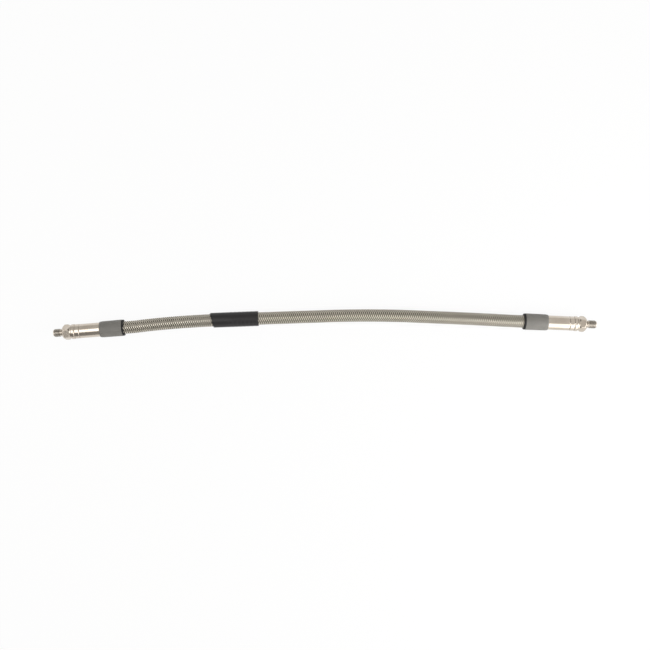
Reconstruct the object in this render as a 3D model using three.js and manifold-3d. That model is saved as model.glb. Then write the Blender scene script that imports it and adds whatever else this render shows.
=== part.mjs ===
// A flexible brake hose with a threaded end fitting crimped on at each end, lying on a flat surface.
// Sizes are in millimetres. X runs along the hose, Z is up and the surface is the plane z = 0.
import * as THREE from "three";
import { mergeVertices } from "three/addons/utils/BufferGeometryUtils.js";
import Module from "manifold-3d";

const wasm = await Module();
wasm.setup();

// Room left between two pieces that touch on the real hose
const clearance = 0.3;

// Hose, from the bore outwards
const hoseBoreRadius = 3.15;
const innerTubeWall = 1.6;
const textilePlyWall = 0.7;
const rubberCoverWall = 0.9;
const steelBraidWall = 0.65;

// Centreline of the lying hose, from its left cut end to its right one. The first four and the last four
// points are in line, because the end fittings hold the hose straight there.
const route = [
  [-310.9, -8.65, 10.3],
  [-280.4, -6.244, 10.3],
  [-249.9, -3.837, 10.3],
  [-237.9, -2.89, 10.3],
  [-222, -0.95, 10.2],
  [-200, 1.25, 9.9],
  [-172, 3.45, 9.5],
  [-142, 5.2, 9.4],
  [-112, 6.35, 9.4],
  [-82, 7.5, 9.4],
  [-50, 8.65, 8.75],
  [-16, 9.8, 8.05],
  [20, 10.9, 7.9],
  [58, 11.25, 7.9],
  [94, 10.7, 7.9],
  [130, 9.3, 7.9],
  [164, 7.9, 8.2],
  [196, 6.35, 9.1],
  [218, 5.2, 9.9],
  [235.8, 4.327, 10.3],
  [247.8, 3.814, 10.3],
  [278.8, 2.487, 10.3],
  [309.8, 1.16, 10.3],
];

// End fitting, turned and milled from one bar: stud, hexagon, neck, locking groove, collar and nipple
const studRadius = 5;
const studChamfer = 0.8;
const undercutRadius = 4.2;
const undercutLength = 1.8;
const fluidBoreRadius = 1.75;
const seatRadius = 2.75;
const seatDepth = 1;
const hexAcrossFlats = 17;
const hexLength = 10;
const hexFaceRadius = 5.8;
const hexFrontChamfer = 4.1;
const hexRearChamfer = 2.4;
const neckInset = 0.05;
const neckLength = 1.5;
const lockingGrooveRadius = 5.2;
const collarRadius = 7;
const collarLength = 2.2;
const nippleReach = 43;
const nippleWall = 0.75;
const nippleEndBevel = 1.2;
const barbHeight = 0.35;
const barbRamp = 5;
const barbPitch = 7;
const firstBarb = 6;

// Ferrule, crimped over the hose and into the locking groove
const ferruleLipLength = 2.25;
const ferruleWall = 0.7;
const ferruleReach = 50;
const ferruleMouthFlare = 0.25;
const beadHeight = 0.45;
const beadEdge = 0.6;
const secondBandHeight = 0.1;
const firstGroovePlace = -1;
const firstGrooveWidth = 1.2;
const firstGrooveDepth = 0.3;
const secondGroovePlace = 5;
const secondGrooveWidth = 1;
const secondGrooveDepth = 0.35;

// Grey sleeve, pushed over the ferrule
const sleeveLength = 27.8;
const sleeveNoseWall = 0.25;
const sleeveBodyWall = 0.9;
const sleeveMouthWall = 1.1;
const sleeveNoseLength = 6;
const sleeveNoseSteps = 4;

// Black rubber bush: its tail fills the sleeve from the ferrule's end on, its lip closes the sleeve's mouth
const bushLipLength = 1.9;
const bushLipInset = 0.25;
const bushLipRounding = 0.6;

// Black shrunk-on band, its left end cut aslant
const bandWall = 1.2;
const bandStart = -141.2;
const bandLength = 58;
const bandSlant = 3.8;

// What differs between the two ends
const ends = {
  left: { threadLength: 9.3, hexTurn: 13, sleeveOverlap: 19.65 },
  right: { threadLength: 10.3, hexTurn: 3, sleeveOverlap: 18.05 },
};

// Fineness of the curved surfaces
const turnedSides = 28;
const hoseSides = 12;
const hoseSteps = 20;
const bandSteps = 3;
const curveTolerance = 1e-6;

// Radii that follow from the layers and walls
const innerTubeRadius = hoseBoreRadius + innerTubeWall;
const textilePlyRadius = innerTubeRadius + clearance + textilePlyWall;
const rubberCoverRadius = textilePlyRadius + clearance + rubberCoverWall;
const hoseRadius = rubberCoverRadius + clearance + steelBraidWall;
const nippleCrestRadius = hoseBoreRadius - clearance;
const nippleRootRadius = nippleCrestRadius - barbHeight;
const hoseSeatRadius = hoseRadius + clearance;
const ferruleRadius = hoseSeatRadius + ferruleWall;
const sleeveBoreRadius = ferruleRadius + clearance;
const neckRadius = hexAcrossFlats / 2 - neckInset;

// Places along an end's own axis: 0 is the hose's cut end, the hose lies on the positive side
const collarBack = -clearance;
const collarFront = collarBack - collarLength;
const lipBack = collarFront - clearance;
const lipFront = lipBack - ferruleLipLength;
const neckBack = lipFront - clearance;
const neckFront = neckBack - neckLength;
const hexFront = neckFront - hexLength;
const studBack = hexFront - undercutLength;

const nickel = { color: 0xb8afa3, roughness: 0.25, metalness: 1 };
const rubber = { color: 0x1c1b1c, roughness: 0.75, metalness: 0 };
const finishes = {
  inner_tube: { color: 0x242325, roughness: 0.8, metalness: 0 },
  textile_ply: { color: 0xb9ac8e, roughness: 0.9, metalness: 0 },
  rubber_cover: rubber,
  steel_braid: { color: 0x9b948a, roughness: 0.45, metalness: 0.9 },
  end_fitting: nickel,
  ferrule: nickel,
  grey_sleeve: { color: 0x77746f, roughness: 0.6, metalness: 0 },
  rubber_bush: rubber,
  black_band: { color: 0x2f2d2e, roughness: 0.5, metalness: 0 },
};

function named(name, geometry, finish) {
  const mesh = new THREE.Mesh(geometry, new THREE.MeshStandardMaterial(finish));
  mesh.name = name;
  return mesh;
}

// A body of revolution about the X axis, from [place, radius] pairs that go once round its section
function turned(section) {
  const points = section.map(([place, radius]) => new THREE.Vector2(radius, place));
  if (THREE.ShapeUtils.area(points) < 0) points.reverse();
  points.push(points[0].clone());
  return new THREE.LatheGeometry(points, turnedSides).rotateZ(-Math.PI / 2);
}

// A round tube along a curve
function tubeAlong(curve, bore, radius, steps) {
  const section = new THREE.Shape().absarc(0, 0, radius, 0, 2 * Math.PI);
  section.holes.push(new THREE.Path().absarc(0, 0, bore, 0, 2 * Math.PI));
  return new THREE.ExtrudeGeometry(section, {
    steps,
    curveSegments: hoseSides / 2,
    extrudePath: curve,
  });
}

function toSolid(geometry) {
  const bare = geometry.clone();
  bare.deleteAttribute("normal");
  bare.deleteAttribute("uv");
  const merged = mergeVertices(bare, 1e-4);
  return new wasm.Manifold(
    new wasm.Mesh({
      numProp: 3,
      vertProperties: merged.attributes.position.array,
      triVerts: new Uint32Array(merged.index.array),
    }),
  );
}

function toGeometry(solid) {
  const mesh = solid.getMesh();
  const geometry = new THREE.BufferGeometry();
  geometry.setAttribute("position", new THREE.BufferAttribute(mesh.vertProperties, 3));
  geometry.setIndex(new THREE.BufferAttribute(mesh.triVerts, 1));
  geometry.computeVertexNormals();
  return geometry;
}

// Sawtooth barbs of the nipple: steep towards the stud, sloping towards the hose
function barbs() {
  const section = [];
  const last = nippleReach - nippleEndBevel - barbRamp;
  for (let place = firstBarb; place < last; place += barbPitch) {
    section.push([place, nippleRootRadius]);
    section.push([place, nippleCrestRadius]);
    section.push([place + barbRamp, nippleRootRadius]);
  }
  return section;
}

function endFitting({ threadLength, hexTurn }) {
  const tip = studBack - threadLength;
  const coreRadius = (undercutRadius + hexFaceRadius) / 2;
  const bite = 0.5;
  const body = turned([
    [tip, seatRadius],
    [tip, studRadius - studChamfer],
    [tip + studChamfer, studRadius],
    [studBack, studRadius],
    [studBack + studRadius - undercutRadius, undercutRadius],
    [hexFront, undercutRadius],
    [hexFront, coreRadius],
    [neckFront - bite, coreRadius],
    [neckFront - bite, neckRadius],
    [neckBack, neckRadius],
    [neckBack, lockingGrooveRadius],
    [collarFront, lockingGrooveRadius],
    [collarFront, collarRadius],
    [collarBack, collarRadius],
    [collarBack, nippleRootRadius],
    ...barbs(),
    [nippleReach - nippleEndBevel, nippleRootRadius],
    [nippleReach, fluidBoreRadius + nippleWall / 2],
    [nippleReach, fluidBoreRadius],
    [tip + seatDepth, fluidBoreRadius],
  ]);
  // The hexagon's blank is turned first, with a cone at the front and a flatter one at the rear
  const cornerRadius = hexAcrossFlats / 2 / Math.cos(Math.PI / 6);
  const blankRadius = cornerRadius + clearance;
  const blank = turned([
    [hexFront, undercutRadius],
    [hexFront, hexFaceRadius],
    [hexFront + hexFrontChamfer, blankRadius],
    [neckFront - hexRearChamfer, blankRadius],
    [neckFront, neckRadius],
    [neckFront, undercutRadius],
  ]);
  const flats = new THREE.CylinderGeometry(cornerRadius, cornerRadius, 2 * hexLength, 6)
    .rotateY(Math.PI / 2 + THREE.MathUtils.degToRad(hexTurn))
    .rotateZ(-Math.PI / 2)
    .translate(hexFront + hexLength / 2, 0, 0);
  const hexagon = toSolid(blank).intersect(toSolid(flats));
  return toGeometry(toSolid(body).add(hexagon));
}

function ferrule() {
  const beadRadius = ferruleRadius + beadHeight;
  const secondBandRadius = ferruleRadius + secondBandHeight;
  return turned([
    [lipFront, lockingGrooveRadius + clearance],
    [lipFront, beadRadius - beadEdge],
    [lipFront + beadEdge, beadRadius],
    [firstGroovePlace - firstGrooveWidth / 2, beadRadius],
    [firstGroovePlace, ferruleRadius - firstGrooveDepth],
    [firstGroovePlace + firstGrooveWidth / 2, secondBandRadius],
    [secondGroovePlace - secondGrooveWidth / 2, secondBandRadius],
    [secondGroovePlace, ferruleRadius - secondGrooveDepth],
    [secondGroovePlace + secondGrooveWidth / 2, ferruleRadius],
    [ferruleReach, ferruleRadius],
    [ferruleReach, hoseSeatRadius + ferruleMouthFlare],
    [ferruleReach - 2 * ferruleWall, hoseSeatRadius],
    [collarBack, hoseSeatRadius],
    [collarBack, collarRadius + clearance],
    [lipBack, collarRadius + clearance],
    [lipBack, lockingGrooveRadius + clearance],
  ]);
}

// Where the sleeve's nose and mouth lie on the end's axis
function sleevePlaces(sleeveOverlap) {
  const nose = ferruleReach - sleeveOverlap;
  return { nose, mouth: nose + sleeveLength };
}

function greySleeve({ sleeveOverlap }) {
  const { nose, mouth } = sleevePlaces(sleeveOverlap);
  const noseRadius = sleeveBoreRadius + sleeveNoseWall;
  const bodyRadius = sleeveBoreRadius + sleeveBodyWall;
  const rounding = [];
  for (let i = 0; i <= sleeveNoseSteps; i += 1) {
    const turn = (i / sleeveNoseSteps) * (Math.PI / 2);
    rounding.push([
      nose + sleeveNoseLength * (1 - Math.cos(turn)),
      noseRadius + (bodyRadius - noseRadius) * Math.sin(turn),
    ]);
  }
  return turned([
    [nose, sleeveBoreRadius],
    ...rounding,
    [mouth, sleeveBoreRadius + sleeveMouthWall],
    [mouth, sleeveBoreRadius],
  ]);
}

function rubberBush({ sleeveOverlap }) {
  const { mouth } = sleevePlaces(sleeveOverlap);
  const tailStart = ferruleReach + clearance;
  const lipStart = mouth + clearance;
  const lipEnd = lipStart + bushLipLength;
  const lipRadius = sleeveBoreRadius + sleeveMouthWall - bushLipInset;
  return turned([
    [tailStart, hoseSeatRadius],
    [tailStart, sleeveBoreRadius - clearance],
    [lipStart, sleeveBoreRadius - clearance],
    [lipStart, lipRadius],
    [lipEnd - bushLipRounding, lipRadius],
    [lipEnd, lipRadius - bushLipRounding],
    [lipEnd, hoseSeatRadius],
  ]);
}

// The stretch of the hose's curve between two places along it
function stretchOf(curve, from, to, count) {
  const points = [];
  for (let i = 0; i <= count; i += 1) {
    points.push(curve.getPointAt((from + ((to - from) * i) / count) / curve.getLength()));
  }
  return new THREE.CatmullRomCurve3(points);
}

// How far along the curve a place on the X axis lies
function distanceAtX(curve, x) {
  let low = 0;
  let high = 1;
  while (high - low > curveTolerance) {
    const middle = (low + high) / 2;
    if (curve.getPointAt(middle).x < x) low = middle;
    else high = middle;
  }
  return low * curve.getLength();
}

function blackBand(curve) {
  const start = distanceAtX(curve, bandStart);
  const path = stretchOf(curve, start - bandSlant / 2, start + bandLength, bandSteps);
  const whole = toSolid(tubeAlong(path, hoseSeatRadius, hoseSeatRadius + bandWall, bandSteps));
  // The knife is a block whose one face passes through the hose's centre at the band's start
  const knifeSize = 4 * hoseRadius;
  const direction = curve.getTangentAt(start / curve.getLength());
  const slant = Math.atan(bandSlant / (2 * (hoseSeatRadius + bandWall)));
  const centre = curve.getPointAt(start / curve.getLength());
  const knife = new THREE.BoxGeometry(knifeSize, knifeSize, knifeSize)
    .translate(-knifeSize / 2, 0, 0)
    .rotateZ(Math.atan2(direction.y, direction.x) + slant)
    .translate(centre.x, centre.y, centre.z);
  return toGeometry(whole.subtract(toSolid(knife)));
}

// One end: its pieces share the hose's axis there, with X pointing into the hose
function hoseEnd(side, point, inward) {
  const group = new THREE.Group();
  const sizes = ends[side];
  group.position.copy(point);
  group.rotation.z = Math.atan2(inward.y, inward.x);
  group.add(
    named(side + "_end_fitting", endFitting(sizes), finishes.end_fitting),
    named(side + "_ferrule", ferrule(), finishes.ferrule),
    named(side + "_grey_sleeve", greySleeve(sizes), finishes.grey_sleeve),
    named(side + "_rubber_bush", rubberBush(sizes), finishes.rubber_bush),
  );
  return group;
}

const centreline = new THREE.CatmullRomCurve3(route.map((p) => new THREE.Vector3(...p)));
const layers = {
  inner_tube: [hoseBoreRadius, innerTubeRadius],
  textile_ply: [innerTubeRadius + clearance, textilePlyRadius],
  rubber_cover: [textilePlyRadius + clearance, rubberCoverRadius],
  steel_braid: [rubberCoverRadius + clearance, hoseRadius],
};

const group = new THREE.Group();
for (const [name, [bore, radius]] of Object.entries(layers)) {
  group.add(named(name, tubeAlong(centreline, bore, radius, hoseSteps), finishes[name]));
}
group.add(named("black_band", blackBand(centreline), finishes.black_band));
group.add(hoseEnd("left", centreline.getPoint(0), centreline.getTangent(0)));
group.add(hoseEnd("right", centreline.getPoint(1), centreline.getTangent(1).negate()));

export default group;
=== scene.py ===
import math

import bpy
from mathutils import Matrix, Vector


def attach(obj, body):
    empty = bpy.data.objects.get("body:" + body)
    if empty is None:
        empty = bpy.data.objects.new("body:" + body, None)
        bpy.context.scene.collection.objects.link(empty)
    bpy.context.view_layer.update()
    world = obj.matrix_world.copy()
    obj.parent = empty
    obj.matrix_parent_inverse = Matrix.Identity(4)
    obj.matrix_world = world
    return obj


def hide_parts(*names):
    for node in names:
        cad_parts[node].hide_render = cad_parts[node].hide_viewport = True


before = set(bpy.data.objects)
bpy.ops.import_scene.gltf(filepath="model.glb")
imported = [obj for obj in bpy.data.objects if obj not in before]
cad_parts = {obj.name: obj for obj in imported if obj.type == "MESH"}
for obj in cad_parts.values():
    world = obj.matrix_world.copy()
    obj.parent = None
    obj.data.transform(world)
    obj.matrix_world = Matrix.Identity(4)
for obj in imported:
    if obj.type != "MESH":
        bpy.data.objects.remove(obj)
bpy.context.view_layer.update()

mm = 0.001  # sizes below are in millimetres, the scene is in metres


def linearColor(hexText):
    channels = [int(hexText[i : i + 2], 16) / 255 for i in (1, 3, 5)]
    return tuple(c / 12.92 if c <= 0.04045 else ((c + 0.055) / 1.055) ** 2.4 for c in channels) + (1.0,)


def setInputs(tree, node, inputs):
    # an input takes a plain value, a socket to link from, or a node, which gives its first output
    for key, value in inputs.items():
        if isinstance(value, bpy.types.Node):
            value = value.outputs[0]
        if isinstance(value, bpy.types.NodeSocket):
            tree.links.new(value, node.inputs[key])
        else:
            node.inputs[key].default_value = value


def addNode(tree, kind, inputs=None, stops=(), **settings):
    # stops are a colour ramp's places and colours
    node = tree.nodes.new(kind)
    for name, value in settings.items():
        setattr(node, name, value)
    setInputs(tree, node, inputs or {})
    for i, (place, hexText) in enumerate(stops):
        node.color_ramp.elements[i].position = place
        node.color_ramp.elements[i].color = linearColor(hexText)
    return node


def addSteps(tree, values, steps, kind="ShaderNodeMath"):
    # arithmetic in steps: each has a name, an operation and one or two terms, by name or as a value
    for name, operation, *terms in steps:
        inputs = {i: values.get(term, term) for i, term in enumerate(terms)}
        values[name] = addNode(tree, kind, inputs, operation=operation)


def newMaterial(name):
    material = bpy.data.materials.new(name)
    material.use_nodes = True
    tree = material.node_tree
    tree.nodes.clear()
    shader = addNode(tree, "ShaderNodeBsdfPrincipled")
    addNode(tree, "ShaderNodeOutputMaterial", {"Surface": shader})
    return material, tree, shader


def addObject(name, data):
    item = bpy.data.objects.new(name, data)
    bpy.context.collection.objects.link(item)
    return item


camera = {
    "height": 1160,  # above the fittings' axis
    "pixelSize": 1.25,  # mm at the axis
    "imageWidth": 650,  # pixels
    "sensor": 36,
    "aim": (0, -0.65, 10.3),
}


def placeCamera():
    data = bpy.data.cameras.new("photoCamera")
    data.sensor_width = camera["sensor"]
    data.lens = camera["sensor"] * camera["height"] / (camera["pixelSize"] * camera["imageWidth"])
    item = addObject("photoCamera", data)
    x, y, z = camera["aim"]
    item.location = (x * mm, y * mm, (z + camera["height"]) * mm)
    bpy.context.scene.camera = item


placeCamera()
print("camera placed")

# The hose's centreline as it lies, from its left cut end to its right one
hoseRoute = [
    (-310.9, -8.65, 10.3), (-280.4, -6.244, 10.3), (-249.9, -3.837, 10.3), (-237.9, -2.89, 10.3),
    (-222, -0.95, 10.2), (-200, 1.25, 9.9), (-172, 3.45, 9.5), (-142, 5.2, 9.4), (-112, 6.35, 9.4),
    (-82, 7.5, 9.4), (-50, 8.65, 8.75), (-16, 9.8, 8.05), (20, 10.9, 7.9), (58, 11.25, 7.9),
    (94, 10.7, 7.9), (130, 9.3, 7.9), (164, 7.9, 8.2), (196, 6.35, 9.1), (218, 5.2, 9.9),
    (235.8, 4.327, 10.3), (247.8, 3.814, 10.3), (278.8, 2.487, 10.3), (309.8, 1.16, 10.3),
]


def smoothRoute(points, perSpan):
    points = [Vector(p) for p in points]
    points = [2 * points[0] - points[1]] + points + [2 * points[-1] - points[-2]]
    result = []
    for i in range(1, len(points) - 2):
        p = points[i - 1 : i + 3]
        t = [0.0]
        for a, b in zip(p, p[1:]):
            t.append(t[-1] + math.sqrt((b - a).length))  # centripetal spacing
        for k in range(perSpan):
            u = t[1] + (t[2] - t[1]) * k / perSpan
            a = [p[j] + (p[j + 1] - p[j]) * (u - t[j]) / (t[j + 1] - t[j]) for j in range(3)]
            b = [a[j] + (a[j + 1] - a[j]) * (u - t[j]) / (t[j + 2] - t[j]) for j in range(2)]
            result.append(b[0] + (b[1] - b[0]) * (u - t[1]) / (t[2] - t[1]))
    return result + [points[-2]]


centreline = smoothRoute(hoseRoute, 24)
hoseLength = sum((b - a).length for a, b in zip(centreline, centreline[1:]))
print("hose length", round(hoseLength, 1), "mm")


def distanceAtX(x):
    along = 0.0
    for a, b in zip(centreline, centreline[1:]):
        if b.x >= x:
            return along + (b - a).length * (x - a.x) / (b.x - a.x)
        along += (b - a).length
    return along


def endMatrix(cutEnd, inner):
    inward = (Vector(inner) - Vector(cutEnd)).normalized()
    turn = math.atan2(inward.y, inward.x)
    return Matrix.Translation(Vector(cutEnd) * mm) @ Matrix.Rotation(turn, 4, "Z")


endFrames = {
    "left": endMatrix(hoseRoute[0], hoseRoute[1]),
    "right": endMatrix(hoseRoute[-1], hoseRoute[-2]),
}


def makeNickelSteel():
    # Turned free-cutting steel with bright nickel plating: warm mirror with fine rings from the lathe
    material, tree, shader = newMaterial("brightNickelPlatedSteel")
    place = addNode(tree, "ShaderNodeTexCoord").outputs["Object"]
    values = {name: addNode(tree, "ShaderNodeAttribute", attribute_name=name).outputs["Fac"]
              for name in ("place", "recess")}
    addSteps(tree, values, [
        # rings every 0.12 mm along the axis, drawn coarser than the real 0.05 mm feed so that they show
        ("ringTurns", "MULTIPLY", "place", 2 * math.pi / 0.12),
        ("rings", "SINE", "ringTurns"),
        # painted shade: grooves and inner corners are darkened towards brown by how deep they lie
        ("filmAndShade", "MULTIPLY", "recess", 0.75),
    ])
    cloud = addNode(tree, "ShaderNodeTexNoise", {"Vector": place, "Scale": 1 / (16.67 * mm), "Detail": 3.0})
    tint = addNode(tree, "ShaderNodeValToRGB", {"Fac": cloud}, stops=[(0.3, "#C9BEB0"), (0.7, "#D6CDC1")])
    # painted shade: the plating's tint is mixed towards dark brown in the recesses
    grooveShadedTint = addNode(tree, "ShaderNodeMix", {0: values["filmAndShade"], 6: tint.outputs["Color"],
                     7: linearColor("#5B4D40")}, data_type="RGBA")
    smears = addNode(tree, "ShaderNodeTexNoise", {"Vector": place, "Scale": 1 / (4.545 * mm), "Detail": 5.0,
                     "Roughness": 0.6})
    rough = addNode(tree, "ShaderNodeMapRange", {"Value": smears, "From Min": 0.25, "From Max": 0.75,
                    "To Min": 0.15, "To Max": 0.24})
    bump = addNode(tree, "ShaderNodeBump", {"Height": values["rings"], "Strength": 0.1,
                   "Distance": 0.002 * mm})
    setInputs(tree, shader, {"Base Color": grooveShadedTint.outputs[2], "Metallic": 1.0, "Roughness": rough,
              "Normal": bump})
    return material


def makeThreadSteel():
    # The same plating in a rolled thread, with painted shade: its tones are darker to stand for each flank
    # mirroring the next one
    material, tree, shader = newMaterial("nickelPlatedThread")
    place = addNode(tree, "ShaderNodeTexCoord").outputs["Object"]
    filmAndShade = addNode(tree, "ShaderNodeTexNoise", {"Vector": place, "Scale": 1 / (1.111 * mm), "Detail": 4.0,
                   "Roughness": 0.65})
    # painted shade: both tones lie below the turned plating's; the noise varies them and the gloss
    tint = addNode(tree, "ShaderNodeValToRGB", {"Fac": filmAndShade}, stops=[(0.3, "#8E8A83"), (0.7, "#BAB6AE")])
    rough = addNode(tree, "ShaderNodeMapRange", {"Value": filmAndShade, "From Min": 0.3, "From Max": 0.7,
                    "To Min": 0.24, "To Max": 0.36})
    setInputs(tree, shader, {"Base Color": tint, "Metallic": 1.0, "Roughness": rough})
    return material


def makeBraidWire():
    # Bright drawn stainless wire, seven wires to a strand: each wire's crown glints; painted shade darkens
    # the grooves between wires, the strands' edges and where they dive under
    material, tree, shader = newMaterial("drawnStainlessBraidWire")
    values = {name: addNode(tree, "ShaderNodeAttribute", attribute_name=name).outputs["Fac"]
              for name in ("across", "strand", "along", "onTop")}
    addSteps(tree, values, [
        # seven wires of 0.3 mm over a strand's width
        ("wireTurns", "MULTIPLY", "across", 7 * math.pi),
        ("wireWave", "SINE", "wireTurns"),
        ("crown", "ABSOLUTE", "wireWave"),
        ("lean", "SUBTRACT", "across", 0.5),
        ("fromMiddle", "ABSOLUTE", "lean"),
    ])
    # a strand is bright along its middle and painted dark at its edges: painted shade where the next strand
    # shades it
    edge = addNode(tree, "ShaderNodeValToRGB", {"Fac": values["fromMiddle"]},
                   stops=[(0.19, "#FFF7E6"), (0.26, "#241F1A")])
    # tone changes from one float of about 5 mm to the next
    seed = addNode(tree, "ShaderNodeCombineXYZ", {"X": values["along"], "Z": values["strand"]})
    spread = addNode(tree, "ShaderNodeVectorMath", {0: seed, 1: (1 / (5 * mm), 1.0, 7.3)},
                     operation="MULTIPLY")
    values["tone"] = addNode(tree, "ShaderNodeTexNoise", {"Vector": spread, "Scale": 1.0, "Detail": 2.0})
    # painted shade too where a strand dives under the crossing ones and between its wires; the tone's
    # darkening is the strands' own
    darkest = {"onTop": (-0.1, 0.5, 0.38), "crown": (0.0, 0.5, 0.88), "tone": (0.3, 0.7, 0.85)}
    for name, (low, high, least) in darkest.items():
        values[name + "Shade"] = addNode(tree, "ShaderNodeMapRange", {"Value": values[name], "From Min": low,
                                         "From Max": high, "To Min": least})
    # painted shade between the wires times the strands' own tone, then the painted shade under the crossings
    addSteps(tree, values, [
        ("wireShadeAndTone", "MULTIPLY", "crownShade", "toneShade"),
        ("shade", "MULTIPLY", "wireShadeAndTone", "onTopShade"),
    ])
    # the painted shade darkens the strand's colour
    color = addNode(tree, "ShaderNodeVectorMath", {0: edge, "Scale": values["shade"]}, operation="SCALE")
    bump = addNode(tree, "ShaderNodeBump", {"Height": values["crown"], "Strength": 0.35,
                   "Distance": 0.08 * mm})
    setInputs(tree, shader, {"Base Color": color, "Metallic": 1.0, "Roughness": 0.38, "Normal": bump})
    return material


def makeSkin(name, s):
    # a moulded or drawn skin: one noise gives its gloss and its grain, and its tone too unless it has clouds
    material, tree, shader = newMaterial(name)
    place = addNode(tree, "ShaderNodeTexCoord").outputs["Object"]
    perMetre = [1 / (size * mm) for size in s["grain"]]
    sized = addNode(tree, "ShaderNodeMapping", {"Vector": place, "Scale": perMetre})
    grain = addNode(tree, "ShaderNodeTexNoise", {"Vector": sized, "Scale": 1.0, "Detail": s["detail"],
                    "Roughness": s["fineness"]})
    tone = grain
    if "clouds" in s:
        tone = addNode(tree, "ShaderNodeTexNoise", {"Vector": place, "Scale": 1 / (s["clouds"] * mm),
                       "Detail": 3.0})
    tint = addNode(tree, "ShaderNodeValToRGB", {"Fac": tone}, stops=s["tones"])
    smoothest, roughest = s["roughness"]
    rough = addNode(tree, "ShaderNodeMapRange", {"Value": grain, "From Min": 0.3, "From Max": 0.7,
                    "To Min": smoothest, "To Max": roughest})
    strength, depth = s["bump"]
    bump = addNode(tree, "ShaderNodeBump", {"Height": grain, "Strength": strength, "Distance": depth * mm})
    setInputs(tree, shader, {"Base Color": tint, "Roughness": rough, "IOR": s["ior"], "Normal": bump})
    return material


mouldedPolyamide = {
    # Moulded mid-grey polyamide: satin, a fine eroded grain from the tool and slightly paler worn spots
    "grain": (0.35, 0.35, 0.35),  # size along X, Y and Z
    "detail": 4,
    "fineness": 0.6,
    "clouds": 9,  # size of the paler spots
    "tones": [(0.3, "#72706B"), (0.7, "#7C7A75")],  # places on the noise's scale, colours
    "roughness": (0.5, 0.62),
    "bump": (0.25, 0.03),  # strength, depth
    "ior": 1.53,
}

mouldedRubber = {
    # Black nitrile rubber, moulded and bloomed a little: dull, with a soft broad sheen
    "grain": (0.5, 0.5, 0.5),
    "detail": 5,
    "fineness": 0.65,
    "tones": [(0.3, "#0D0C0C"), (0.75, "#171616")],
    "roughness": (0.62, 0.78),
    "bump": (0.3, 0.04),
    "ior": 1.52,
}

shrunkPolyolefin = {
    # Black polyolefin shrunk on hot: satin film with faint lengthwise drawing lines
    "grain": (16.67, 1.111, 1.111),
    "detail": 4,
    "fineness": 0.5,
    "tones": [(0.3, "#151314"), (0.72, "#1F1D1E")],
    "roughness": (0.4, 0.52),
    "bump": (0.3, 0.04),
    "ior": 1.5,
}


def makeTextileCord():
    # Plaited rayon cord under the rubber: cream, with a crossed weave of 1.2 mm
    material, tree, shader = newMaterial("plaitedTextileCord")
    place = addNode(tree, "ShaderNodeTexCoord").outputs["Object"]
    weave = addNode(tree, "ShaderNodeTexChecker", {"Vector": place, "Scale": 1 / (1.2 * mm),
                    "Color1": linearColor("#C4B795"), "Color2": linearColor("#9F9270")})
    bump = addNode(tree, "ShaderNodeBump", {"Height": weave.outputs["Fac"], "Strength": 0.5,
                   "Distance": 0.1 * mm})
    setInputs(tree, shader, {"Base Color": weave, "Roughness": 0.9, "Normal": bump})
    return material


nickelSteel = makeNickelSteel()
threadSteel = makeThreadSteel()
braidWire = makeBraidWire()
greyPolyamide = makeSkin("mouldedGreyPolyamide", mouldedPolyamide)
nitrileRubber = makeSkin("blackNitrileRubber", mouldedRubber)
shrinkTubing = makeSkin("blackShrinkTubing", shrunkPolyolefin)
textileCord = makeTextileCord()
print("finishes made")


def newTree(name, inputs, outputs):
    tree = bpy.data.node_groups.new(name, "GeometryNodeTree")
    for direction, sockets in (("INPUT", inputs), ("OUTPUT", outputs)):
        for label, kind in sockets.items():
            tree.interface.new_socket(name=label, in_out=direction, socket_type="NodeSocket" + kind)
    given = addNode(tree, "NodeGroupInput")
    return tree, dict(given.outputs.items()), addNode(tree, "NodeGroupOutput")


def makePlaceOnHose():
    # From a distance along the hose, an angle round it and a radius to a place and the way out of the hose
    tree, given, result = newTree("placeOnHose", {
        "Centreline": "Geometry", "Along": "Float", "Angle": "Float", "Radius": "Float",
    }, {"Position": "Vector", "Outward": "Vector"})
    sample = addNode(tree, "GeometryNodeSampleCurve", {"Curves": given["Centreline"],
                     "Length": given["Along"]}, mode="LENGTH")
    values = {**given, **dict(sample.outputs.items())}
    addSteps(tree, values, [("cosine", "COSINE", "Angle"), ("sine", "SINE", "Angle")])
    addSteps(tree, values, [
        ("level", "CROSS_PRODUCT", (0, 0, 1), "Tangent"),
        ("side", "NORMALIZE", "level"),
        ("upward", "CROSS_PRODUCT", "Tangent", "side"),
        ("sideShare", "MULTIPLY", "side", "cosine"),
        ("upwardShare", "MULTIPLY", "upward", "sine"),
        ("outward", "ADD", "sideShare", "upwardShare"),
        ("reach", "MULTIPLY", "outward", "Radius"),
        ("spot", "ADD", "Position", "reach"),
    ], kind="ShaderNodeVectorMath")
    setInputs(tree, result, {"Position": values["spot"], "Outward": values["outward"]})
    return tree


placeOnHose = makePlaceOnHose()


def makeShareLine(tree, points):
    # a line whose points carry nothing but their share of the way, from 0 to 1
    line = addNode(tree, "GeometryNodeCurvePrimitiveLine", {"Start": (0, 0, 0), "End": (1, 0, 0)})
    return addNode(tree, "GeometryNodeResampleCurve", {"Curve": line, "Count": points}, mode="COUNT")


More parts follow.
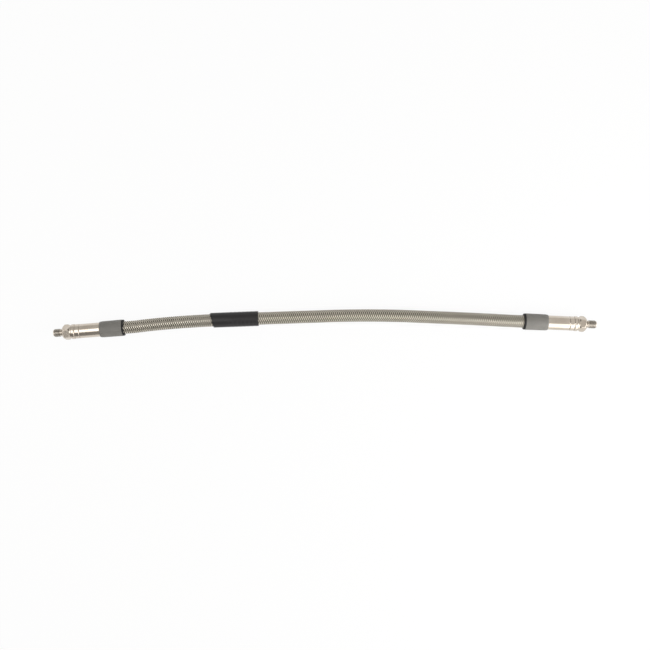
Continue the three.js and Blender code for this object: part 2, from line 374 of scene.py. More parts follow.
def sweepOutward(tree, line, spot, outward, section):
    # a section's X keeps pointing outwards; that direction is kept on the line before its points move,
    # because it is measured from their share of the line
    kept = addNode(tree, "GeometryNodeStoreNamedAttribute", {"Geometry": line, "Name": "outward",
                   "Value": outward}, data_type="FLOAT_VECTOR", domain="POINT")
    placed = addNode(tree, "GeometryNodeSetPosition", {"Geometry": kept, "Position": spot})
    direction = addNode(tree, "GeometryNodeInputNamedAttribute", {"Name": "outward"},
                        data_type="FLOAT_VECTOR")
    normals = addNode(tree, "GeometryNodeSetCurveNormal", {"Curve": placed, "Normal": direction}, mode="FREE")
    swept = addNode(tree, "GeometryNodeCurveToMesh", {"Curve": normals, "Profile Curve": section,
                    "Fill Caps": True})
    return addNode(tree, "GeometryNodeRemoveAttribute", {"Geometry": swept, "Name": "outward"})


def endTree(tree, shape, finish, result, smooth=True):
    real = addNode(tree, "GeometryNodeRealizeInstances", {"Geometry": shape})
    if smooth:
        real = addNode(tree, "GeometryNodeSetShadeSmooth", {"Geometry": real})
    finished = addNode(tree, "GeometryNodeSetMaterial", {"Geometry": real, "Material": finish})
    setInputs(tree, result, {"Geometry": finished})
    return tree


def makeBraidTree():
    # One direction of the braid: strands that wind round the hose, over two and under two of the others
    tree, values, result = newTree("braidStrands", {
        "Centreline": "Geometry", "Hand": "Float", "Carriers": "Int", "Lead": "Float",
        "First Crossing": "Float", "Radius": "Float", "Weave Depth": "Float", "Strand Width": "Float",
        "Strand Height": "Float", "Points": "Int", "End Margin": "Float", "Finish": "Material",
    }, {"Geometry": "Geometry"})
    line = makeShareLine(tree, values["Points"])
    copies = addNode(tree, "GeometryNodeDuplicateElements", {"Geometry": line, "Amount": values["Carriers"]},
                     domain="SPLINE")
    section = addNode(tree, "ShaderNodeSeparateXYZ", {0: addNode(tree, "GeometryNodeInputPosition")})
    values["share"] = addNode(tree, "GeometryNodeSplineParameter").outputs["Factor"]
    values["hoseLength"] = addNode(tree, "GeometryNodeCurveLength", {"Curve": values["Centreline"]})
    values["strand"] = copies.outputs["Duplicate Index"]
    values["sectionX"], values["sectionY"] = section.outputs["X"], section.outputs["Y"]
    addSteps(tree, values, [
        ("margins", "MULTIPLY", "End Margin", 2.0),
        ("span", "SUBTRACT", "hoseLength", "margins"),
        ("inSpan", "MULTIPLY", "share", "span"),
        ("along", "ADD", "inSpan", "End Margin"),
        ("fromFirst", "SUBTRACT", "along", "First Crossing"),
        ("turns", "DIVIDE", "fromFirst", "Lead"),
        ("handedTurns", "MULTIPLY", "turns", "Hand"),
        ("firstTurn", "DIVIDE", "strand", "Carriers"),
        ("allTurns", "ADD", "firstTurn", "handedTurns"),
        ("angle", "MULTIPLY", "allTurns", 2 * math.pi),
        # crossings passed so far, then the phase of over two, under two
        ("crossings", "MULTIPLY", "handedTurns", "Carriers"),
        ("crossingSum", "ADD", "crossings", "strand"),
        ("doubled", "MULTIPLY", "crossingSum", 2.0),
        ("shifted", "SUBTRACT", "doubled", 0.5),
        ("phase", "MULTIPLY", "shifted", math.pi / 2),
        ("wave", "COSINE", "phase"),
        ("onTop", "MULTIPLY", "wave", "Hand"),
        ("steep", "MULTIPLY", "onTop", 1.5),
        ("below", "MINIMUM", "steep", 1.0),
        ("bounded", "MAXIMUM", "below", -1.0),
        ("rise", "MULTIPLY", "bounded", "Weave Depth"),
        ("reach", "ADD", "Radius", "rise"),
        # a strand's section: seven wires side by side, as one flat strip with a crowned top
        ("halfWidth", "MULTIPLY", "Strand Width", 0.5),
        ("halfHeight", "MULTIPLY", "Strand Height", 0.5),
        ("wide", "MULTIPLY", "sectionY", "halfWidth"),
        ("high", "MULTIPLY", "sectionX", "halfHeight"),
    ])
    # the wire's finish looks these up: three values along the line and one across the section
    line = copies.outputs["Geometry"]
    for name in ("along", "strand", "onTop"):
        line = addNode(tree, "GeometryNodeStoreNamedAttribute", {"Geometry": line, "Name": name,
                       "Value": values[name]}, data_type="FLOAT", domain="POINT")
    ring = addNode(tree, "GeometryNodeCurvePrimitiveCircle", {"Resolution": 10, "Radius": 1.0}, mode="RADIUS")
    across = addNode(tree, "ShaderNodeMapRange", {"Value": values["sectionY"], "From Min": -1.0})
    marked = addNode(tree, "GeometryNodeStoreNamedAttribute", {"Geometry": ring, "Name": "across",
                     "Value": across}, data_type="FLOAT", domain="POINT")
    flat = addNode(tree, "ShaderNodeCombineXYZ", {"X": values["high"], "Y": values["wide"]})
    strip = addNode(tree, "GeometryNodeSetPosition", {"Geometry": marked, "Position": flat})
    spot = addNode(tree, "GeometryNodeGroup", {"Centreline": values["Centreline"], "Along": values["along"],
                   "Angle": values["angle"], "Radius": values["reach"]}, node_tree=placeOnHose)
    swept = sweepOutward(tree, line, spot.outputs["Position"], spot.outputs["Outward"], strip)
    return endTree(tree, swept, values["Finish"], result)


def lineObject(name):
    data = bpy.data.curves.new(name, "CURVE")
    data.dimensions = "3D"
    spline = data.splines.new("POLY")
    spline.points.add(len(centreline) - 1)
    for point, place in zip(spline.points, centreline):
        point.co = (*(place * mm), 1.0)
    return addObject(name, data)


def evaluatedMesh(item, name):
    # the mesh that an object's modifiers make
    bpy.context.view_layer.update()
    depsgraph = bpy.context.evaluated_depsgraph_get()
    mesh = bpy.data.meshes.new_from_object(item.evaluated_get(depsgraph), preserve_all_data_layers=True,
                                           depsgraph=depsgraph)
    mesh.name = name
    return mesh


def runTree(name, tree, inputs):
    # puts a tree on the hose's line, sets its inputs and keeps the result as a plain mesh
    start = lineObject(name + "_line")
    modifier = start.modifiers.new(name, "NODES")
    modifier.node_group = tree
    for entry in tree.interface.items_tree:
        if entry.in_out == "INPUT" and entry.name in inputs:
            modifier[entry.identifier] = inputs[entry.name]
    mesh = evaluatedMesh(start, name)
    start.modifiers.remove(modifier)
    bpy.data.objects.remove(start)
    return addObject(name, mesh)


steelBraid = {
    # eight wider strands each way stand for the real twelve, whose rows are too fine to show; their pitch
    # along the hose is the real one, 2.5 mm from crossing to crossing
    "carriers": 8,
    "lead": 19.92,
    "firstCrossing": 0.78,  # from the hose's end
    "radius": 7.48,  # middle of the two layers
    "weaveDepth": 0.22,
    "strandWidth": 2.1,
    "strandHeight": 0.42,
    "pointsAlong": 660,
    "endMargin": 1,
}


def makeBraid():
    s = steelBraid
    tree = makeBraidTree()
    made = []
    for name, hand in (("braid_right_hand", 1.0), ("braid_left_hand", -1.0)):
        item = runTree(name, tree, {
            "Hand": hand, "Carriers": s["carriers"], "Lead": s["lead"] * mm,
            "First Crossing": s["firstCrossing"] * mm, "Radius": s["radius"] * mm,
            "Weave Depth": s["weaveDepth"] * mm, "Strand Width": s["strandWidth"] * mm,
            "Strand Height": s["strandHeight"] * mm, "Points": s["pointsAlong"],
            "End Margin": s["endMargin"] * mm, "Finish": braidWire})
        print(name, len(item.data.polygons), "faces")
        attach(item, "root")
        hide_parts("steel_braid")
        made.append(item)
    return made


braids = makeBraid()


def makeWrapTree():
    # A tube wrapped round the hose: one end may be cut aslant, and the braid may show through as low diamonds
    tree, values, result = newTree("wrapRoundHose", {
        "Centreline": "Geometry", "Start": "Float", "Length": "Float", "Radius": "Float", "Slant": "Float",
        "Steps Along": "Int", "Steps Round": "Int", "Relief": "Float", "Relief Pitch": "Float",
        "Relief Rows": "Float", "Relief From": "Float", "Wobble": "Float", "Finish": "Material",
    }, {"Geometry": "Geometry"})
    place = addNode(tree, "ShaderNodeSeparateXYZ", {0: addNode(tree, "GeometryNodeInputPosition")})
    values["x"], values["y"] = place.outputs["X"], place.outputs["Y"]
    addSteps(tree, values, [
        ("seamStep", "ADD", "Steps Round", 1.0),
        ("share", "ADD", "x", 0.5),
        ("rest", "SUBTRACT", 1.0, "share"),
        ("round", "ADD", "y", 0.5),
        ("angle", "MULTIPLY", "round", 2 * math.pi),
        ("cosine", "COSINE", "angle"),
        ("sine", "SINE", "angle"),
    ])
    grid = addNode(tree, "GeometryNodeMeshGrid", {"Size X": 1.0, "Size Y": 1.0,
                   "Vertices X": values["Steps Along"], "Vertices Y": values["seamStep"]})
    ring = addNode(tree, "ShaderNodeCombineXYZ", {"X": values["cosine"], "Y": values["sine"],
                   "Z": values["share"]})
    values["noise"] = addNode(tree, "ShaderNodeTexNoise", {"Vector": ring, "Scale": 1.7, "Detail": 1.0})
    addSteps(tree, values, [
        # the slant moves the start's edge only, and fades towards the other end
        ("slantHere", "MULTIPLY", "Slant", "cosine"),
        ("slantFaded", "MULTIPLY", "slantHere", "rest"),
        ("inTube", "MULTIPLY", "share", "Length"),
        ("fromStart", "ADD", "inTube", "Start"),
        ("straight", "SUBTRACT", "fromStart", "slantFaded"),
        # both cut edges wander a little, as a knife leaves them
        ("centred", "SUBTRACT", "noise", 0.5),
        ("wander", "MULTIPLY", "centred", "Wobble"),
        ("along", "ADD", "straight", "wander"),
        # low diamonds: rows round the hose and a pitch along it
        ("rowTurn", "MULTIPLY", "angle", "Relief Rows"),
        ("rowWave", "COSINE", "rowTurn"),
        ("pitchTurn", "DIVIDE", "inTube", "Relief Pitch"),
        ("pitchAngle", "MULTIPLY", "pitchTurn", 2 * math.pi),
        ("pitchWave", "COSINE", "pitchAngle"),
        ("diamonds", "ADD", "rowWave", "pitchWave"),
        ("pastStart", "SUBTRACT", "share", "Relief From"),
        ("fadeIn", "MULTIPLY", "pastStart", 8.0),  # over an eighth of the length
        ("fadeLow", "MAXIMUM", "fadeIn", 0.0),
        ("fade", "MINIMUM", "fadeLow", 1.0),
        ("faded", "MULTIPLY", "diamonds", "fade"),
        ("lift", "MULTIPLY", "faded", "Relief"),
        ("doubleRelief", "MULTIPLY", "Relief", 2.0),
        ("lowest", "SUBTRACT", "Radius", "doubleRelief"),
        ("reach", "ADD", "lowest", "lift"),
    ])
    spot = addNode(tree, "GeometryNodeGroup", {"Centreline": values["Centreline"], "Along": values["along"],
                   "Angle": values["angle"], "Radius": values["reach"]}, node_tree=placeOnHose)
    placed = addNode(tree, "GeometryNodeSetPosition", {"Geometry": grid, "Position": spot})
    closed = addNode(tree, "GeometryNodeMergeByDistance", {"Geometry": placed, "Distance": 0.001 * mm})
    outside = addNode(tree, "GeometryNodeFlipFaces", {"Mesh": closed})
    return endTree(tree, outside, values["Finish"], result)


wrapTree = makeWrapTree()


def giveWall(item, thickness, edge):
    # the wrapped skin gets its wall inwards, and its cut edges are broken
    wall, edges = item.modifiers.new("wall", "SOLIDIFY"), item.modifiers.new("edges", "BEVEL")
    wall.thickness, wall.offset = thickness, -1
    edges.width, edges.segments, edges.limit_method = edge, 2, "ANGLE"
    edges.angle_limit = math.radians(60)
    mesh = evaluatedMesh(item, item.name)
    item.modifiers.clear()
    item.data = mesh


rubberCover = {
    "outerRadius": 6.95,
    "wall": 0.9,
    "cutEdge": 0.1,
    "stepsAlong": 400,
    "stepsRound": 40,
}


def makeRubberCover():
    s = rubberCover
    item = runTree("rubber_cover_tube", wrapTree, {
        "Start": 0.0, "Length": hoseLength * mm, "Radius": s["outerRadius"] * mm, "Slant": 0.0,
        "Steps Along": s["stepsAlong"], "Steps Round": s["stepsRound"], "Relief": 0.0, "Relief Pitch": 1.0,
        "Relief Rows": 0.0, "Relief From": 0.0, "Wobble": 0.0, "Finish": nitrileRubber})
    giveWall(item, s["wall"] * mm, s["cutEdge"] * mm)
    print("rubber cover", len(item.data.polygons), "faces")
    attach(item, "root")
    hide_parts("rubber_cover")
    return item


blackBand = {
    "startX": -141.2,
    "length": 58,
    "outerRadius": 9.4,
    "wall": 1.1,
    "cutEdge": 0.25,
    "slant": 1.9,  # how far the slanted cut leans to each side of its middle
    "stepsAlong": 220,
    "stepsRound": 128,
    "relief": 0.07,
    "reliefPitch": 5,
    "reliefRows": 12,
    "reliefFrom": 0.3,  # share of the length where the braid starts to show through
    "wobble": 0.9,
}


def makeBlackBand():
    s = blackBand
    item = runTree("black_band_tube", wrapTree, {
        "Start": distanceAtX(s["startX"]) * mm, "Length": s["length"] * mm, "Radius": s["outerRadius"] * mm,
        "Slant": s["slant"] * mm, "Steps Along": s["stepsAlong"], "Steps Round": s["stepsRound"],
        "Relief": s["relief"] * mm, "Relief Pitch": s["reliefPitch"] * mm,
        "Relief Rows": float(s["reliefRows"]), "Relief From": s["reliefFrom"], "Wobble": s["wobble"] * mm,
        "Finish": shrinkTubing})
    giveWall(item, s["wall"] * mm, s["cutEdge"] * mm)
    print("black band", len(item.data.polygons), "faces")
    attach(item, "root")
    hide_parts("black_band")
    return item


coverTube = makeRubberCover()
bandTube = makeBlackBand()

print("hose made")


def roundedSection(corners, arcSteps=4, support=0.08, edgeShare=0.42, leastCut=0.005):
    # corners are (place, radius, rounding); each becomes a small arc with a support point on either side,
    # and takes no more than a share of the edges beside it
    section = []
    count = len(corners)
    for i, (place, radius, rounding) in enumerate(corners):
        here = Vector((place, radius))
        before = Vector(corners[i - 1][:2]) - here
        after = Vector(corners[(i + 1) % count][:2]) - here
        cut = min(rounding, edgeShare * before.length, edgeShare * after.length)
        start, end = here + before.normalized() * cut, here + after.normalized() * cut
        if cut < leastCut:
            section.append(here)
            continue
        room = min(support, 0.05 * min(before.length, after.length))
        section.append(start + before.normalized() * room)
        for k in range(arcSteps + 1):
            t = k / arcSteps
            section.append(start * (1 - t) ** 2 + here * 2 * t * (1 - t) + end * t * t)
        section.append(end + after.normalized() * room)
    return section


def densified(section, step, low, high, leastRadius):
    # more points where the hexagon is cut
    result = []
    for a, b in zip(section, section[1:] + section[:1]):
        result.append(a)
        middle = (a + b) / 2
        if low <= middle.x <= high and middle.y > leastRadius:
            pieces = max(1, math.ceil((b - a).length / step))
            result.extend(a + (b - a) * k / pieces for k in range(1, pieces))
    return result


def recessOf(section, i, reach=1.6, deep=0.45):
    # how far a point lies below the highest of its neighbours on both sides, from 0 to 1; the nickel finish
    # paints shade into the grooves by it
    here = section[i]
    before = [p.y for p in section if here.x - reach <= p.x <= here.x]
    after = [p.y for p in section if here.x <= p.x <= here.x + reach]
    return max(0.0, min(1.0, (min(max(before), max(after)) - here.y) / deep))


def turnedPiece(name, section, side, material, sides=96, shape=None, phase=0.0):
    # a body of revolution on an end's axis, from its closed section; shape may change a radius with the angle
    area = sum(a.x * b.y - b.x * a.y for a, b in zip(section, section[1:] + section[:1]))
    if area < 0:
        section = section[::-1]
    toScene = endFrames[side]
    points, places, recesses, faces = [], [], [], []
    for i, spot in enumerate(section):
        recess = recessOf(section, i)
        for k in range(sides):
            angle = phase + 2 * math.pi * k / sides
            radius = shape(spot.x, spot.y, angle) if shape else spot.y
            point = Vector((spot.x, radius * math.cos(angle), radius * math.sin(angle)))
            points.append(toScene @ (point * mm))
            places.append(spot.x)
            recesses.append(recess)
    for i in range(len(section)):
        j = (i + 1) % len(section)
        for k in range(sides):
            n = (k + 1) % sides
            faces.append((i * sides + k, j * sides + k, j * sides + n, i * sides + n))
    mesh = bpy.data.meshes.new(name)
    mesh.from_pydata(points, [], faces)
    mesh.attributes.new("place", "FLOAT", "POINT").data.foreach_set("value", places)
    mesh.attributes.new("recess", "FLOAT", "POINT").data.foreach_set("value", recesses)
    mesh.polygons.foreach_set("use_smooth", [True] * len(faces))
    mesh.materials.append(material)
    return addObject(name, mesh)


endFitting = {
    "studCoreRadius": 4.4,  # under the thread
    "studChamfer": 0.9,
    "undercutRadius": 4.2,
    "fluidBoreRadius": 1.75,
    "seatRadius": 2.75,
    "seatDepth": 1,
    "hexAcrossFlats": 17,
    "hexFront": -16.85,
    "hexFaceRadius": 5.8,
    "hexDomeRadius": 7.6,
    "hexDomeDepth": 1.1,  # behind the face, where its cone is steepest
    "hexFrontChamfer": 4.1,
    "hexBlankRadius": 10.12,
    "hexRearChamfer": 2.4,
    "hexRear": -6.85,
    "hexEdge": 0.25,  # rounding where the flats meet the cones
    "hexCutDepth": 6,  # the flats' cutter reaches this near the axis
    "hexCutFrom": -0.1,  # where it starts, measured from the front
    "hexCutPast": 0.3,  # where it ends, measured from the rear
    "hexStep": 0.3,  # between the points of the stretch that is cut
    "hexStepFrom": 0.2,  # where these points start, measured from the front
    "neckRadius": 8.45,
    "neckEnd": -5.35,
    "lockingGrooveRadius": 5.2,
    "collarFront": -2.5,
    "collarBack": -0.3,
    "collarRadius": 7,
    "nippleRootRadius": 2.5,
    "nippleCrestRadius": 2.85,
    "nippleReach": 43,
    "nippleTaper": 1.2,
    "nippleMouth": 0.375,  # wall left at the nipple's end
    "barbs": (6, 13, 20, 27, 34),
    "barbRamp": 5,
    "sides": 180,
}

threadedStud = {
    "crestRadius": 4.99,
    "pitch": 1,
    "ridgeHeight": 0.72,
    "rootShare": 0.95,  # the ridge's width at its root and crest, as shares of the pitch
    "crestShare": 0.14,
    "stepsPerTurn": 56,
    "runOut": 0.55,  # from the tip to the first turn's middle
    "studBack": -18.65,
}

# what differs between the two ends; the hexagon's turn is in degrees
endSizes = {
    "left": {"threadLength": 9.3, "hexTurn": 13, "sleeveNose": 30.35},
    "right": {"threadLength": 10.3, "hexTurn": 3, "sleeveNose": 31.95},
}


def makeEndFitting(side):
    s = endFitting
    tip = threadedStud["studBack"] - endSizes[side]["threadLength"]
    apothem = s["hexAcrossFlats"] / 2
    turn = math.radians(endSizes[side]["hexTurn"])
    barbs = []
    for place in s["barbs"]:
        barbs += [(place, s["nippleRootRadius"], 0.05), (place, s["nippleCrestRadius"], 0.08),
                  (place + s["barbRamp"], s["nippleRootRadius"], 0)]
    corners = [
        (tip, s["seatRadius"], 0.12),
        (tip, s["studCoreRadius"] - s["studChamfer"] * 0.5, 0.15),
        (tip + s["studChamfer"], s["studCoreRadius"], 0.1),
        (threadedStud["studBack"] - 0.3, s["studCoreRadius"], 0.1),
        (threadedStud["studBack"], s["undercutRadius"], 0.1),
        (s["hexFront"], s["undercutRadius"], 0.35),
        (s["hexFront"], s["hexFaceRadius"], 0.15),
        (s["hexFront"] + s["hexDomeDepth"], s["hexDomeRadius"], 1.2),
        (s["hexFront"] + s["hexFrontChamfer"], s["hexBlankRadius"], 0),
        (s["hexRear"] - s["hexRearChamfer"], s["hexBlankRadius"], 0),
        (s["hexRear"], s["neckRadius"], 0.12),
        (s["neckEnd"], s["neckRadius"], 0.2),
        (s["neckEnd"], s["lockingGrooveRadius"], 0.2),
        (s["collarFront"], s["lockingGrooveRadius"], 0.2),
        (s["collarFront"], s["collarRadius"], 0.2),
        (s["collarBack"], s["collarRadius"], 0.2),
        (s["collarBack"], s["nippleRootRadius"], 0.15),
        *barbs,
        (s["nippleReach"] - s["nippleTaper"], s["nippleRootRadius"], 0.2),
        (s["nippleReach"], s["fluidBoreRadius"] + s["nippleMouth"], 0.1),
        (s["nippleReach"], s["fluidBoreRadius"], 0.1),
        (tip + s["seatDepth"], s["fluidBoreRadius"], 0.1),
    ]
    cutStart, cutEnd = s["hexFront"] + s["hexCutFrom"], s["hexRear"] + s["hexCutPast"]
    section = densified(roundedSection(corners), s["hexStep"], s["hexFront"] + s["hexStepFrom"], cutEnd,
                        s["hexCutDepth"])

    def hexCut(place, radius, angle):
        if not cutStart < place < cutEnd or radius < s["hexCutDepth"]:
            return radius
        within = (angle - turn) % (math.pi / 3) - math.pi / 6
        flat = apothem / math.cos(within)
        blend = max(0.0, 1 - abs(radius - flat) / s["hexEdge"])
        return min(radius, flat) - blend * blend * s["hexEdge"] / 4

    item = turnedPiece(side + "_fitting_body", section, side, nickelSteel, s["sides"], hexCut, turn)
    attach(item, "root")
    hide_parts(side + "_end_fitting")
    return item


def makeThreadTree():
    # One rolled ridge winding along a stud; it sinks into the stud at both ends
    tree, values, result = newTree("rolledThread", {
        "Geometry": "Geometry", "Start": "Float", "Length": "Float", "Pitch": "Float",
        "Crest Radius": "Float", "Ridge Height": "Float", "Points": "Int", "Finish": "Material",
    }, {"Geometry": "Geometry"})
    values["share"] = addNode(tree, "GeometryNodeSplineParameter").outputs["Factor"]
    addSteps(tree, values, [
        ("inThread", "MULTIPLY", "share", "Length"),
        ("along", "ADD", "inThread", "Start"),
        ("turns", "DIVIDE", "inThread", "Pitch"),
        ("angle", "MULTIPLY", "turns", 2 * math.pi),
        ("rest", "SUBTRACT", 1.0, "share"),
        ("nearestEnd", "MINIMUM", "share", "rest"),
        ("fromEnd", "MULTIPLY", "nearestEnd", "Length"),
        ("endTurns", "DIVIDE", "fromEnd", "Pitch"),
        ("runIn", "MINIMUM", "endTurns", 1.0),
        ("missing", "SUBTRACT", 1.0, "runIn"),
        ("sunk", "MULTIPLY", "missing", "Ridge Height"),
        ("halfRidge", "MULTIPLY", "Ridge Height", 0.5),
        ("middle", "SUBTRACT", "Crest Radius", "halfRidge"),
        ("reach", "SUBTRACT", "middle", "sunk"),
        ("cosine", "COSINE", "angle"),
        ("sine", "SINE", "angle"),
        ("y", "MULTIPLY", "reach", "cosine"),
        ("z", "MULTIPLY", "reach", "sine"),
        ("rootWidth", "MULTIPLY", "Pitch", threadedStud["rootShare"]),
        ("crestWidth", "MULTIPLY", "Pitch", threadedStud["crestShare"]),
    ])
    spot = addNode(tree, "ShaderNodeCombineXYZ", {"X": values["along"], "Y": values["y"], "Z": values["z"]})
    outward = addNode(tree, "ShaderNodeCombineXYZ", {"Y": values["cosine"], "Z": values["sine"]})
    ridge = addNode(tree, "GeometryNodeCurvePrimitiveQuadrilateral", {"Bottom Width": values["rootWidth"],
                    "Top Width": values["crestWidth"], "Height": values["Ridge Height"], "Offset": 0.0},
                    mode="TRAPEZOID")
    # a profile's X points outwards, so the ridge is turned from standing on Y to standing on X
    upright = addNode(tree, "GeometryNodeTransform", {"Geometry": ridge,
                      "Rotation": (0.0, 0.0, -math.pi / 2)})
    swept = sweepOutward(tree, makeShareLine(tree, values["Points"]), spot, outward, upright)
    return endTree(tree, swept, values["Finish"], result, smooth=False)


threadTree = makeThreadTree()


def makeThread(side):
    s = threadedStud
    length = endSizes[side]["threadLength"]
    start = s["studBack"] - length + s["runOut"]
    item = runTree(side + "_stud_thread", threadTree, {
        "Start": start * mm, "Length": (length - s["runOut"]) * mm, "Pitch": s["pitch"] * mm,
        "Crest Radius": s["crestRadius"] * mm, "Ridge Height": s["ridgeHeight"] * mm,
        "Points": int(s["stepsPerTurn"] * length / s["pitch"]), "Finish": threadSteel})
    item.data.transform(endFrames[side])
    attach(item, "root")
    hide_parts(side + "_end_fitting")
    return item


ferrule = {
    "lipFront": -5.05,
    "lipBack": -2.8,
    "lipBore": 5.5,
    "collarBore": 7.3,
    "hoseBore": 8.2,
    "radius": 8.9,
    "beadRadius": 9.35,
    "secondBandRadius": 9,
    "firstGroove": (-1, 1.2, 8.6),  # place, width, radius at the bottom
    "secondGroove": (5, 1, 8.55),
    "boreStart": -0.3,
    "mouthDepth": 1.4,  # the bore opens a little towards its mouth
    "mouthFlare": 0.25,
    "reach": 50,
    "sides": 128,
}


def makeFerrule(side):
    s = ferrule
    first, firstWidth, firstRadius = s["firstGroove"]
    second, secondWidth, secondRadius = s["secondGroove"]
    corners = [
        (s["lipFront"], s["lipBore"], 0.15),
        (s["lipFront"], s["beadRadius"], 0.6),
        (first - firstWidth / 2, s["beadRadius"], 0.3),
        (first, firstRadius, 0.25),
        (first + firstWidth / 2, s["secondBandRadius"], 0.3),
        (second - secondWidth / 2, s["secondBandRadius"], 0.3),
        (second, secondRadius, 0.2),
        (second + secondWidth / 2, s["radius"], 0.3),
        (s["reach"], s["radius"], 0.15),
        (s["reach"], s["hoseBore"] + s["mouthFlare"], 0.1),
        (s["reach"] - s["mouthDepth"], s["hoseBore"], 0.3),
        (s["boreStart"], s["hoseBore"], 0.2),
        (s["boreStart"], s["collarBore"], 0.1),
        (s["lipBack"], s["collarBore"], 0.1),
        (s["lipBack"], s["lipBore"], 0.1),
    ]
    item = turnedPiece(side + "_crimped_ferrule", roundedSection(corners), side, nickelSteel, s["sides"])
    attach(item, "root")
    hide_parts(side + "_ferrule")
    return item


greySleeve = {
    "bore": 9.2,
    "length": 27.8,
    "noseRadius": 9.45,
    "bodyRadius": 10.1,
    "mouthRadius": 10.3,
    "noseLength": 6,
    "noseSteps": 14,
    "sides": 128,
}


def makeGreySleeve(side):
    s = greySleeve
    nose = endSizes[side]["sleeveNose"]
    mouth = nose + s["length"]
    corners = [(nose, s["bore"], 0)]
    for i in range(s["noseSteps"] + 1):
        turn = math.pi / 2 * i / s["noseSteps"]
        corners.append((nose + s["noseLength"] * (1 - math.cos(turn)),
                        s["noseRadius"] + (s["bodyRadius"] - s["noseRadius"]) * math.sin(turn), 0))
    corners += [(mouth, s["mouthRadius"], 0.35), (mouth, s["bore"], 0.2)]
    item = turnedPiece(side + "_moulded_sleeve", roundedSection(corners), side, greyPolyamide, s["sides"])
    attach(item, "root")
    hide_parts(side + "_grey_sleeve")
    return item


rubberBush = {
    "tailStart": 50.3,
    "bore": 8.2,
    "tailRadius": 8.9,
    "lipGap": 0.3,
    "lipLength": 1.9,
    "lipRadius": 10.05,
    "lipRounding": 0.6,
    "sides": 96,
}


def makeRubberBush(side):
    s = rubberBush
    lipStart = endSizes[side]["sleeveNose"] + greySleeve["length"] + s["lipGap"]
    lipEnd = lipStart + s["lipLength"]
    corners = [
        (s["tailStart"], s["bore"], 0.1),
        (s["tailStart"], s["tailRadius"], 0.1),
        (lipStart, s["tailRadius"], 0.05),
        (lipStart, s["lipRadius"], 0.15),
        (lipEnd, s["lipRadius"], s["lipRounding"]),
        (lipEnd, s["bore"], 0.2),
    ]
    item = turnedPiece(side + "_bush_with_lip", roundedSection(corners), side, nitrileRubber, s["sides"])
    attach(item, "root")
    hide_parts(side + "_rubber_bush")
    return item


for side in ("left", "right"):
    made = [make(side) for make in (makeEndFitting, makeThread, makeFerrule, makeGreySleeve, makeRubberBush)]
    print(side, "end made:", ", ".join(f"{item.name} {len(item.data.polygons)}" for item in made))

# the two inner layers keep their CAD tubes
for node, material in (("inner_tube", nitrileRubber), ("textile_ply", textileCord)):
    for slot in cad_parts[node].material_slots:
        slot.material = material
print("inner layers finished")

surroundings = {
    "floorSize": 6,  # metres
    "floorDrop": 0.0002,  # metres below the lowest piece
    "floorGlow": 0.93,  # share of plain white in what the camera sees of the floor
    # light levels of the room's parts, each laid over the ones before it
    "leftLevel": 0.6,
    "rightLevel": 0.72,
    "darkLevel": 0.26,  # the dark side of the room, seen by the left end
    "frontLevel": 1.5,  # the card low in front of the right half
    "sideLevel": 0.14,  # towards both ends of the hose
    "horizonLevel": 1.5,  # low on both ends, as white card there gives
    "edges": {
        # where a part starts and where it is full, by a ray's share along an axis or by its lean off the
        # vertical, in radians
        "right": ("X", -0.15, 0.15),
        "darkStart": ("lean", -0.28, -0.36),
        "darkStop": ("lean", -1.62, -1.4),
        "front": ("lean", -1.0, -1.25),
        "ends": ("endwards", 0.4, 0.55),
        "low": ("Z", 0.42, 0.3),
        "far": ("endwards", 0.72, 0.82),
    },
    "lamps": [
        # name, place and aim, width and height, all in metres, and watts
        ("overheadLeftSoftbox", (-0.65, -0.06, 1.2), (-0.25, 0.0, 0.0), 0.9, 1.05, 5.0),
        ("sideRightSoftbox", (0.47, -0.54, 0.52), (0.26, 0.0, 0.0), 0.45, 0.78, 1.7),
        ("rightEndLamp", (0.78, -0.22, 0.42), (0.27, 0.0, 0.0), 0.5, 0.4, 4.0),
    ],
}


def makeFloor():
    reach, level = surroundings["floorSize"] / 2, -surroundings["floorDrop"]
    corners = [(-reach, -reach, level), (reach, -reach, level), (reach, reach, level), (-reach, reach, level)]
    mesh = bpy.data.meshes.new("studioFloor")
    mesh.from_pydata(corners, [], [(0, 1, 2, 3)])
    material = bpy.data.materials.new("whiteStudioPaper")
    material.use_nodes = True
    tree = material.node_tree
    tree.nodes.clear()
    values = dict(addNode(tree, "ShaderNodeLightPath").outputs.items())
    addSteps(tree, values, [
        ("seen", "MAXIMUM", "Is Camera Ray", "Is Glossy Ray"),
        ("seenOrThrough", "MAXIMUM", "seen", "Is Transmission Ray"),
        ("glowShare", "MULTIPLY", "seenOrThrough", surroundings["floorGlow"]),
    ])
    paper = addNode(tree, "ShaderNodeBsdfDiffuse", {"Color": (0.9, 0.9, 0.9, 1)})
    glow = addNode(tree, "ShaderNodeEmission", {"Color": (1, 1, 1, 1), "Strength": 1.0})
    mix = addNode(tree, "ShaderNodeMixShader", {0: values["glowShare"], 1: paper, 2: glow})
    addNode(tree, "ShaderNodeOutputMaterial", {"Surface": mix})
    mesh.materials.append(material)
    addObject("studioFloor", mesh)


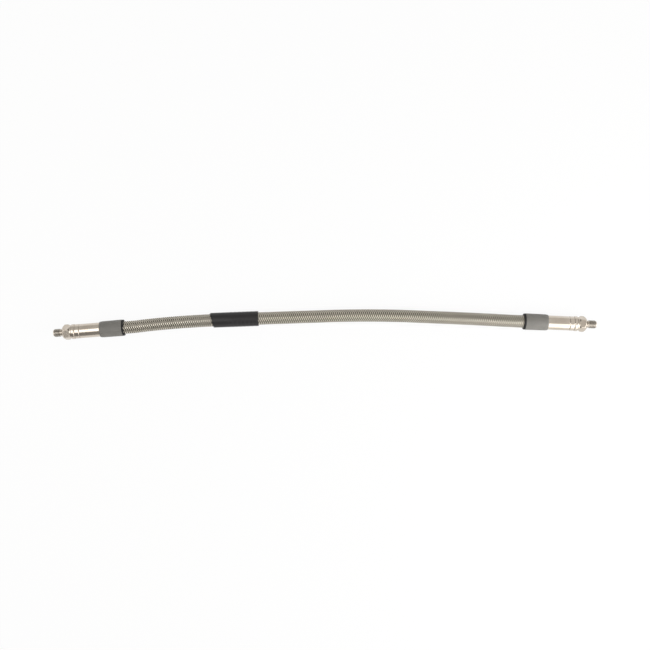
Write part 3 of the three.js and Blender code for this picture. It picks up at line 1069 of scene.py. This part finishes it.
def makeLamps():
    for name, place, aim, width, height, watts in surroundings["lamps"]:
        data = bpy.data.lights.new(name, "AREA")
        data.shape, data.size, data.size_y, data.energy = "RECTANGLE", width, height, watts
        item = addObject(name, data)
        item.location = place
        item.rotation_mode = "QUATERNION"
        item.rotation_quaternion = (Vector(aim) - Vector(place)).to_track_quat("-Z", "Y")


def makeWorld():
    # lighter towards +X; towards -Y the left side is dark and the right one has a low white card; both ends
    # are dark above and white near the horizon
    s = surroundings
    world = bpy.data.worlds.new("greyStudio")
    world.use_nodes = True
    tree = world.node_tree
    tree.nodes.clear()
    generated = addNode(tree, "ShaderNodeTexCoord").outputs["Generated"]
    values = dict(addNode(tree, "ShaderNodeSeparateXYZ", {0: generated}).outputs.items())
    addSteps(tree, values, [("lean", "ARCTAN2", "Y", "Z"), ("endwards", "ABSOLUTE", "X")])
    for name, (source, start, full) in s["edges"].items():
        values[name] = addNode(tree, "ShaderNodeMapRange", {"Value": values[source], "From Min": start,
                               "From Max": full}, interpolation_type="SMOOTHSTEP")
    addSteps(tree, values, [
        ("left", "SUBTRACT", 1.0, "right"),
        ("darkAllRound", "MULTIPLY", "darkStart", "darkStop"),
        ("dark", "MULTIPLY", "darkAllRound", "left"),
        ("card", "MULTIPLY", "front", "right"),
        ("horizon", "MULTIPLY", "low", "far"),
    ])
    level = s["leftLevel"]
    for share, partLevel in (("right", "rightLevel"), ("dark", "darkLevel"), ("card", "frontLevel"),
                             ("ends", "sideLevel"), ("horizon", "horizonLevel")):
        level = addNode(tree, "ShaderNodeMix", {0: values[share], 2: level, 3: s[partLevel]},
                        data_type="FLOAT")
    room = addNode(tree, "ShaderNodeBackground", {"Color": (1, 0.98, 0.95, 1), "Strength": level})
    # past the floor's edge the camera sees plain white
    backdrop = addNode(tree, "ShaderNodeBackground", {"Color": (1, 1, 1, 1), "Strength": 1.0})
    seen = addNode(tree, "ShaderNodeLightPath").outputs["Is Camera Ray"]
    mix = addNode(tree, "ShaderNodeMixShader", {0: seen, 1: room, 2: backdrop})
    addNode(tree, "ShaderNodeOutputWorld", {"Surface": mix})
    bpy.context.scene.world = world


makeFloor()
makeLamps()
makeWorld()
bpy.context.scene.view_settings.view_transform = "Standard"
print("studio set up")
